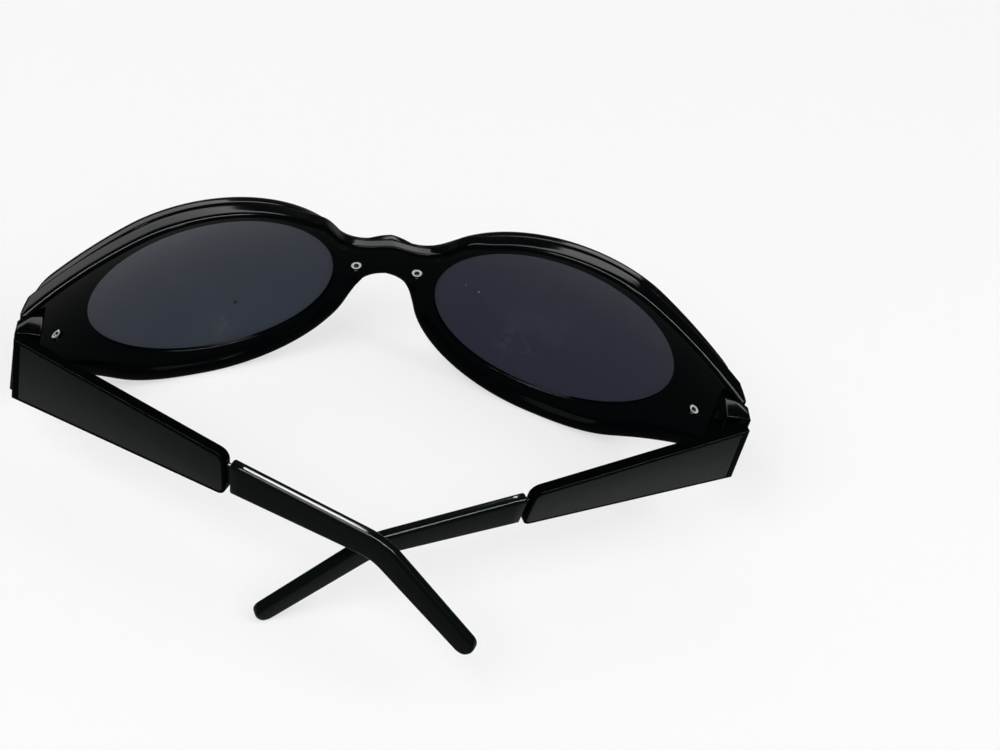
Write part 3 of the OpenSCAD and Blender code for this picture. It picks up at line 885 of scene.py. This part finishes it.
def shell_depth(face, e, g, x, z):
    """Depth on the shell's rear face (0) to its front face (1)."""
    rear = REAR_T + SEAM + SEAM_ROUND * quarter_round(e, SEAM_ROUND)
    front = FRONT_T - 0.95 * quarter_round(e, SHELL_ROUND)
    front -= 0.5 * quarter_round(g, FRONT_LENS_ROUND)
    return rear + (front - rear) * face


print("bead at the top:", bead_shape(40, 20))

# %% [markdown]
# The rows of the two layers. Each row says what it is measured from, how far it
# lies from that, and how far it is between the rear face (0) and the front (1).

# %% Rows of the two layers
LENS_ROUNDS = (0.5, 0.22, 0.14, 0.07, 0.02, 0)
SHELL_LENS_ROUNDS = (0.6, 0.45, 0.3, 0.17, 0.07, 0)
SEAT = (LENS_BACK - 0.07) / REAR_T
SEAT_OUT = LENS_SEAT + 0.1


def row_set(kind, values, face):
    return [(kind, value, face) for value in values]


def wall(values):
    """Rows on the outer wall, at shares of its depth."""
    return [("edge", 0, value) for value in values]


WAY_IN = [i / 9 for i in range(1, 9)]
WAY_OUT = [1 - i / 5 for i in range(5)]
FRAME_ROWS = row_set("edge", ROUNDS, 0.0) + row_set("mid", WAY_IN, 0.0)
FRAME_ROWS += row_set("lens", LENS_ROUNDS, 0.0)
FRAME_ROWS += [("lens", 0, SEAT / 2), ("lens", 0, SEAT), ("lens", SEAT_OUT, SEAT)]
FRAME_ROWS += [("lens", SEAT_OUT, 1.0)] + row_set("mid", WAY_OUT, 1.0)
FRAME_ROWS += row_set("edge", (0.9, 0.2, 0.1, 0.03, 0), 1.0) + wall((0.75, 0.5, 0.25))
SHELL_ROWS = row_set("edge", ROUNDS, 1.0) + row_set("mid", WAY_IN, 1.0)
SHELL_ROWS += row_set("lens", SHELL_LENS_ROUNDS, 1.0)
SHELL_ROWS += [("lens", 0, 0.5), ("lens", 0, 0.0)] + row_set("mid", WAY_OUT, 0.0)
SHELL_ROWS += row_set("edge", (0.9, 0.25, 0.14, 0.05, 0), 0.0) + wall((0.25, 0.5, 0.75))
print("rows:", len(FRAME_ROWS), len(SHELL_ROWS))

# %% Ring of a layer
NEAR_LENS = 0.6
FAR = 9.0
MERGE = 2e-4


def layer_point(column, row, parts, lines, depth):
    measured, value, face = row
    _, _, share, lens, normal, kind = column
    if measured == "edge":
        place, part = edge_place(column, value, parts), share
    elif measured == "lens":
        place, part = lens + normal * value, 0.0
    else:
        start = edge_place(column, ROUNDS[-1], parts)
        place = start.lerp(lens + normal * NEAR_LENS, value)
        part = share * (1 - value)
    on_edge = measured == "edge" and value == 0 and kind in (TOP, LOW)
    e = 0.0 if on_edge else edge_distance(place, lines)
    g = value if measured == "lens" else FAR
    x = wrap_point(place.x, place.y, MID_D).x
    d = depth(face, e, g, x, place.y)
    u = place.x
    if part > 0:
        u += part * (side_of_x(x, place.y, d) - u)
    return to_plan(wrap_point(u, place.y, d))


def make_layer(height, end_depth, rows, depth):
    parts = outline(height, end_depth)
    ring = columns(parts)
    lines = [list(zip(line, line[1:])) for line in (parts[TOP], parts[LOW])]
    bm = bmesh.new()
    n, m = len(ring), len(rows)
    bmesh.ops.create_grid(bm, x_segments=n, y_segments=m, size=0.5)
    found = {}
    for vert in bm.verts:
        i, j = grid_step(vert, n, m)
        spot = i % n, j % m
        if spot not in found:
            column, row = ring[spot[0]], rows[spot[1]]
            found[spot] = layer_point(column, row, parts, lines, depth)
        vert.co = found[spot]
    bmesh.ops.remove_doubles(bm, verts=bm.verts, dist=MERGE)
    middle = [f for f in bm.faces if all(abs(v.co.x) < 1e-4 for v in f.verts)]
    bmesh.ops.delete(bm, geom=middle, context="FACES")
    half = bm.verts[:] + bm.edges[:] + bm.faces[:]
    bmesh.ops.mirror(bm, geom=half, axis="X", merge_dist=1e-4)
    bmesh.ops.remove_doubles(bm, verts=bm.verts, dist=MERGE)
    bmesh.ops.recalc_face_normals(bm, faces=bm.faces)
    loose = sum(len(e.link_faces) != 2 for e in bm.edges)
    print("open edges:", loose, "faces:", len(bm.faces))
    return bm


shell_bm = make_layer(brow_height, REAR_T + SEAM, SHELL_ROWS, shell_depth)
frame_bm = make_layer(bridge_height, 0, FRAME_ROWS, frame_depth)

# %% [markdown]
# The end pieces are solid blocks behind the ends of the rear frame. Each starts
# as a cube with rounded edges and is pressed to the round corner of the plan.

# %% End pieces
BLOCK_W = 5.2
BLOCK_L = 12
BLOCK_Z = (-END_LOW + 0.15, END_TOP - 0.15)
BLOCK_ROUND = 0.55
BLOCK_SINK = 1.2  # how far it starts behind the rear face
REAR_OF_END = END_DEPTH - 0.05
WIDEST_X = 73.6


def add_end_block(bm, side):
    verts = bmesh.ops.create_cube(bm, size=1)["verts"]
    edges = list({e for v in verts for e in v.link_edges})
    bmesh.ops.scale(bm, verts=verts, vec=(BLOCK_W, BLOCK_L, BLOCK_Z[1] - BLOCK_Z[0]))
    centre_y = REAR_OF_END - BLOCK_L / 2
    centre = (HALF_W - BLOCK_W / 2, centre_y, (BLOCK_Z[0] + BLOCK_Z[1]) / 2)
    bmesh.ops.translate(bm, verts=verts, vec=centre)
    rounded = round_off(bm, edges, BLOCK_ROUND, 4)
    for vert in {v for f in rounded["faces"] for v in f.verts}:
        arc = math.sqrt(WRAP_R**2 - min(vert.co.x, WIDEST_X) ** 2)
        start = WRAP_R - arc + BLOCK_SINK
        share = (REAR_OF_END - vert.co.y) / BLOCK_L
        vert.co.y = REAR_OF_END - share * (REAR_OF_END - start)
        vert.co = to_plan(vert.co)
        vert.co.x *= side


for side in SIDES:
    add_end_block(frame_bm, side)
print("frame faces:", len(frame_bm.faces))

# %% [markdown]
# Holes are cut with Boolean modifiers, which are applied at once. A cutter is a
# profile spun round its axis, with a small flare where it meets the surface.

# %% Cutters
def lathe_cutter(profile, place):
    """A closed cutter: (radius, height) points spun round Z and then placed."""
    bm = bmesh.new()
    spin_profile(bm, profile, 48)
    bmesh.ops.remove_doubles(bm, verts=bm.verts, dist=1e-5)
    bmesh.ops.transform(bm, matrix=place, verts=bm.verts)
    bmesh.ops.recalc_face_normals(bm, faces=bm.faces)
    mesh = bpy.data.meshes.new("cutter")
    bm.to_mesh(mesh)
    bm.free()
    return mesh


def cut_with(piece, cutters):
    """Cut closed meshes out of a piece, and keep the result as its own mesh."""
    helpers = []
    for mesh in cutters:
        helper = bpy.data.objects.new("cutter", mesh)
        scene.collection.objects.link(helper)
        helpers.append(helper)
        cut = piece.modifiers.new("cut", "BOOLEAN")
        cut.operation, cut.solver, cut.object = "DIFFERENCE", "EXACT", helper
    bpy.context.view_layer.update()
    graph = bpy.context.evaluated_depsgraph_get()
    done = bpy.data.meshes.new_from_object(piece.evaluated_get(graph))
    piece.modifiers.clear()
    piece.data = done
    for helper in helpers:
        bpy.data.objects.remove(helper)
    print(piece.name, "cut to", len(done.polygons), "faces")


print("cutters ready")

# %% [markdown]
# Where the screws and the hinges go, and the holes that the rear frame gets for
# them. A screw's hole is stepped, with a wide part for its head.

# %% Holes in the rear frame
SCREW_R = 0.7
HEAD_R = 1.19
HEAD_DEEP = 1.03
HOLE_R = SCREW_R + 0.04
HOLE_DEEP = 4.5
SCREWS = {
    # angle round the wrap, height, and depth at which the thread ends
    "bridge_screws": (math.asin(6.5 / WRAP_R), 1.9, 4.4),
    "outer_screws": (math.asin((HALF_W - 7.8) / WRAP_R), -3.2, 3.5),
}
SCREW_HOLE = [(0, -1.5), (1.5, -1.5), (1.45, 0.02), (1.28, 0.12), (HEAD_R, 0.3)]
SCREW_HOLE += [(HEAD_R, HEAD_DEEP), (HOLE_R, HEAD_DEEP), (HOLE_R, HOLE_DEEP)]
SCREW_HOLE += [(0, HOLE_DEEP)]
POCKET = [(0, -4.3), (1.6, -4.3), (1.6, 4.9), (0, 4.9)]


def screw_place(angle, z, side):
    """Matrix from a screw that points along +Z to its place in the front."""
    swing = Matrix.Translation((0, WRAP_R, 0)) @ Matrix.Rotation(side * angle, 4, "Z")
    surface = swing @ Matrix.Translation((0, -WRAP_R, z))
    return surface @ Matrix.Rotation(math.pi / 2, 4, "X")


def hinge_axis(side):
    """Matrix from a line along Z to the leaning hinge axis in the front."""
    at = Matrix.Translation((side * HINGE.x, HINGE.y, 0))
    return at @ Matrix.Rotation(AXIS_LEAN, 4, "Y")


frame_piece = finish_piece(
    frame_bm, "rear_frame_moulding", ON_FLOOR, FRAME_BLACK,
    "front", "rear_frame",
)
cutters = [
    lathe_cutter(SCREW_HOLE, ON_FLOOR @ screw_place(angle, z, side))
    for angle, z, _ in SCREWS.values() for side in SIDES
]
cutters += [lathe_cutter(POCKET, ON_FLOOR @ hinge_axis(side)) for side in SIDES]
cut_with(frame_piece, cutters)
shell_piece = finish_piece(
    shell_bm, "front_shell_moulding", ON_FLOOR, SHELL_BLACK,
    "front", "front_shell",
)

# %% [markdown]
# The four screws are small turned screws with a drive recess. Each is a
# profile spun round its axis, and the faces inside the recess get a much darker
# metal, which is painted shade.

# %% Screws
# Painted shade for the insides of the drive recesses.
RECESS_SHADE_STEEL = make_metal("recess_painted_shade_steel", (0.030, 0.032, 0.036, 1), 0.4)
RECESS_R, RECESS_DEEP = 0.57, 0.8
SCREW_PROFILE = [(0, 0.72), (0.3, 0.72), (0.5, 0.42), (0.58, 0.33), (0.66, 0.30)]
SCREW_PROFILE += [(0.95, 0.31), (1.09, 0.36), (1.15, 0.46), (1.15, 1.0), (SCREW_R, 1.0)]


def make_screws(name, angle, z, end):
    bm = bmesh.new()
    places = [screw_place(angle, z, side) for side in SIDES]
    for place in places:
        spin_profile(bm, SCREW_PROFILE + [(SCREW_R, end), (0, end)], 40)
        new = [v for v in bm.verts if not v.tag]
        bmesh.ops.transform(bm, matrix=place, verts=new)
        for vert in new:
            vert.tag = True
    piece = finish_piece(
        bm, name + "_turned", ON_FLOOR, SCREW_STEEL, "front", name
    )
    # The faces inside each recess take the painted shade.
    piece.data.materials.append(RECESS_SHADE_STEEL)
    homes = [(ON_FLOOR @ place).inverted() for place in places]
    for face in piece.data.polygons:
        spots = [home @ face.center for home in homes]
        inside = [math.hypot(p.x, p.y) < RECESS_R and p.z < RECESS_DEEP for p in spots]
        face.material_index = int(any(inside))


for name, spec in SCREWS.items():
    make_screws(name, *spec)

# %% [markdown]
# A lens is cut from a thin curved sheet. A square grid is drawn out to a disc,
# so that there is no pole in the middle, given its thickness, and then bent to
# the wrap.

# %% Lenses
LENS_STEPS = 40


def make_lens(side):
    bm = bmesh.new()
    bmesh.ops.create_grid(bm, x_segments=LENS_STEPS, y_segments=LENS_STEPS, size=1)
    extrude(bm, bm.faces[:], (0, 0, 1))
    c, s = math.cos(LENS_SLOPE), math.sin(LENS_SLOPE)
    for vert in bm.verts:
        x, y, h = vert.co
        p = x * math.sqrt(1 - y * y / 2) * (LENS_A + LENS_SEAT)
        q = y * math.sqrt(1 - x * x / 2) * (LENS_B + LENS_SEAT)
        u, z = c * p - s * q, s * p + c * q
        vert.co = wrap_point(u, z, LENS_BACK + h * LENS_T)
        vert.co.x *= side
    name = "lens_" + SIDES[side]
    finish_piece(bm, name + "_tinted", ON_FLOOR, LENS_TINT, "front", name)


for side in SIDES:
    make_lens(side)

# %% [markdown]
# A temple arm is a flat bar with a shallow recess for its side panel. It starts
# as its four corners, whose rear two are rounded, and is then extruded, inset
# and bevelled. The panel starts from the same corners, drawn in a little.

# %% Temple arms
INNER_X = AXIS_INSET - TEMPLE_T
ARM_L = 45.6
ARM_NOSE = 1.0
ARM_SLANT = 1.2
ARM_TOP, ARM_TOP_REAR = 9.4, 3.5
ARM_LOW, ARM_LOW_REAR = 5.9, 6.2
ARM_CORNER = 1.8
ARM_ROUND, PANEL_ROUND = 0.28, 0.16
PANEL_T = 0.6
PANEL_BORDER = 0.6
PANEL_FRONT = 0.5
PANEL_GAP = 0.05
ON_FACE = 0.01


def arm_face(bm, inset, front, x):
    """Side view of the arm as one face at a sideways place, with round rear corners."""
    back = ARM_L - inset
    corners = [
        (x, front, -ARM_LOW + inset), (x, back + ARM_SLANT, -ARM_LOW_REAR + inset),
        (x, back, ARM_TOP_REAR - inset), (x, front, ARM_TOP - inset),
    ]
    face = bm.faces.new([bm.verts.new(c) for c in corners])
    rear = [v for v in face.verts if v.co.y > 1]
    round_off(bm, rear, ARM_CORNER - inset, 8, "VERTICES")
    return bm.faces[:][0]


def make_arm(side):
    bm = bmesh.new()
    extrude(bm, [arm_face(bm, 0, -ARM_NOSE, INNER_X)], (TEMPLE_T, 0, 0))
    bmesh.ops.recalc_face_normals(bm, faces=bm.faces)
    outer_face = max(bm.faces, key=lambda f: f.calc_center_median().x)
    rim_edges = edges_where(bm, lambda x: x > AXIS_INSET - ON_FACE)
    rim_edges += edges_where(bm, lambda x: x < INNER_X + ON_FACE)
    bmesh.ops.inset_region(
        bm, faces=[outer_face], thickness=PANEL_BORDER, use_even_offset=True
    )
    for vert in outer_face.verts:
        if vert.co.y < ARM_L / 2:
            vert.co.y = PANEL_FRONT
    extrude(bm, [outer_face], (-PANEL_T - PANEL_GAP, 0, 0))
    bmesh.ops.delete(bm, geom=[outer_face], context="FACES_ONLY")  # the old lid
    round_off(bm, rim_edges, ARM_ROUND, 4)
    name = SIDES[side]
    arm = finish_piece(
        bm, "temple_arm_" + name + "_bar", temple_place(side), ARM_BLACK,
        name + "_temple", "temple_arm_" + name,
    )
    lean = Matrix.Rotation(side * AXIS_LEAN, 4, "Y")
    cut_with(arm, [lathe_cutter(POCKET, temple_place(side) @ lean)])


def make_panel(side):
    bm = bmesh.new()
    start = PANEL_BORDER + PANEL_GAP, PANEL_FRONT + PANEL_GAP, AXIS_INSET - PANEL_T
    extrude(bm, [arm_face(bm, *start)], (PANEL_T, 0, 0))
    bmesh.ops.recalc_face_normals(bm, faces=bm.faces)
    round_off(bm, edges_where(bm, lambda x: x > AXIS_INSET - ON_FACE), PANEL_ROUND, 3)
    name = SIDES[side]
    finish_piece(
        bm, "temple_panel_" + name + "_plate", temple_place(side), PANEL_GREY,
        name + "_temple", "temple_panel_" + name,
    )


for make in (make_arm, make_panel):
    for side in SIDES:
        make(side)

# %% [markdown]
# A temple tip is a flat bar that bends down behind the ear. It is a grid bent
# into a tube: rows run round its rounded section and columns along its length.
# The neck that plugs into the arm is a small block in its front end.

# %% Middle line and sections of a tip
NECK_GAP = 1.1
TIP_CUT, TIP_CUT_REACH = 1.1, 3
TIP_RUN, TIP_DROP = 29.0, 21.4
TIP_SLOPE, TIP_BEND, TIP_BEND_R = math.radians(2.5), math.radians(32.5), 11.0
TIP_W = (7.5, 6.0, 4.8)  # at the arm, at the bend and at the end
TIP_MID_LOW = 1.4
TIP_MID_X = AXIS_INSET - TEMPLE_T / 2
TIP_ARC = TIP_BEND_R * TIP_BEND
TIP_LEN = TIP_RUN + TIP_ARC + TIP_DROP
TIP_ROUND = 0.8
ROUND_SHARE = 0.98  # the most of a half width that a rounding takes
END_HALF = TIP_W[2] / 2
END_STEPS = 12
SECTION = 32
FRONT_END = 0.35
# Each station: distance along the tip, and how much the section grows there.
STATIONS = [(0.0, 0.0), (0.0, -0.5), (0.04, -0.22), (0.15, -0.08), (FRONT_END, 0)]
STATIONS += [(FRONT_END + (TIP_RUN - FRONT_END) * i / 12, 0) for i in range(1, 13)]
STATIONS += [(TIP_RUN + TIP_ARC * i / 10, 0) for i in range(1, 11)]
STATIONS += [(TIP_RUN + TIP_ARC + TIP_DROP * i / 8, 0) for i in range(1, 9)]


def tip_middle(s):
    """Place and slope of the middle line of the tip."""
    bend = min(1, max(0, (s - TIP_RUN) / TIP_ARC))
    slope = TIP_SLOPE + TIP_BEND * bend
    run = min(s, TIP_RUN)
    y = ARM_L + NECK_GAP + run * math.cos(TIP_SLOPE)
    z = -TIP_MID_LOW - run * math.sin(TIP_SLOPE)
    if s > TIP_RUN:
        y += TIP_BEND_R * (math.sin(slope) - math.sin(TIP_SLOPE))
        z += TIP_BEND_R * (math.cos(slope) - math.cos(TIP_SLOPE))
    rest = max(0, s - TIP_RUN - TIP_ARC)
    return y + rest * math.cos(slope), z - rest * math.sin(slope), slope


def tip_half(s):
    """Half the width of the tip."""
    if s < TIP_RUN:
        return (TIP_W[0] + (TIP_W[1] - TIP_W[0]) * s / TIP_RUN) / 2
    share = min(1, (s - TIP_RUN) / (TIP_LEN - TIP_RUN))
    return (TIP_W[1] + (TIP_W[2] - TIP_W[1]) * share) / 2


def station(i):
    """Distance along the tip, half width and half thickness at a station."""
    thick = TEMPLE_T / 2
    if i == 0:
        return STATIONS[0][0], 0.0, 0.0
    if i < len(STATIONS):
        s, grow = STATIONS[i]
        return s, tip_half(s) + grow, thick + grow
    a = (i - len(STATIONS) + 1) / END_STEPS * math.pi / 2
    past = max(0, END_HALF * math.sin(a) - END_HALF + TIP_ROUND)
    thick += math.sqrt(max(0, TIP_ROUND**2 - past**2)) - TIP_ROUND
    return TIP_LEN + END_HALF * math.sin(a), END_HALF * math.cos(a), thick


def tip_section(i, phi_step):
    """Point of the tip's skin at a station and a step round the section."""
    s, half, thick = station(i)
    r = max(1e-6, min(TIP_ROUND, half * ROUND_SHARE, thick * ROUND_SHARE))
    quarter, step = divmod(phi_step, SECTION // 4)
    a = math.pi / 2 * (quarter + step / (SECTION // 4 - 1))
    sx = 1 if quarter in (0, 3) else -1
    sh = 1 if quarter in (0, 1) else -1
    side = sx * max(0, thick - r) + r * math.cos(a)
    up = sh * max(0, half - r) + r * math.sin(a)
    y, z, slope = tip_middle(s)
    if s < TIP_CUT_REACH:
        y += TIP_CUT * (1 - s / TIP_CUT_REACH) * (0.5 - up / TIP_W[0])
    y, z = y + up * math.sin(slope), z + up * math.cos(slope)
    return Vector((TIP_MID_X + side, y, z))


print("tip length:", round(TIP_LEN + END_HALF, 1))

# %% Temple tips
NECK_T, NECK_W, NECK_X = 1.1, 4.6, 1.15
NECK_IN, NECK_OVER = 5, 1
NECK_ROUND = 0.25


def make_tip(side):
    bm = bmesh.new()
    n = len(STATIONS) + END_STEPS - 1
    bmesh.ops.create_grid(bm, x_segments=n, y_segments=SECTION, size=0.5)
    for vert in bm.verts:
        i, j = grid_step(vert, n, SECTION)
        vert.co = tip_section(i, j % SECTION)
    bmesh.ops.remove_doubles(bm, verts=bm.verts, dist=1e-4)
    neck = bmesh.ops.create_cube(bm, size=1)["verts"]
    length = NECK_IN + NECK_GAP + NECK_OVER
    centre = (NECK_X, ARM_L - NECK_IN + length / 2, -TIP_MID_LOW)
    bmesh.ops.scale(bm, verts=neck, vec=(NECK_T, length, NECK_W))
    bmesh.ops.translate(bm, verts=neck, vec=centre)
    round_off(bm, list({e for v in neck for e in v.link_edges}), NECK_ROUND, 3)
    name = SIDES[side]
    return finish_piece(
        bm, "temple_tip_" + name + "_bar", temple_place(side), TIP_BLACK,
        name + "_temple", "temple_tip_" + name,
    )


tips = [make_tip(side) for side in SIDES]

# %% [markdown]
# Two of the strips would leave hot spots on other pieces, so each is linked to
# the pieces that it is meant for: one to the tips, and one to the two layers.

# %% Linked lamps
LINKED = {"strip_tips": tips, "strip_front": [frame_piece, shell_piece]}
for name, pieces in LINKED.items():
    lit = bpy.data.collections.new("lit_by_" + name)
    for piece in pieces:
        lit.objects.link(piece)
    lamps[name].light_linking.receiver_collection = lit
    print(name, "lights", len(pieces), "pieces")
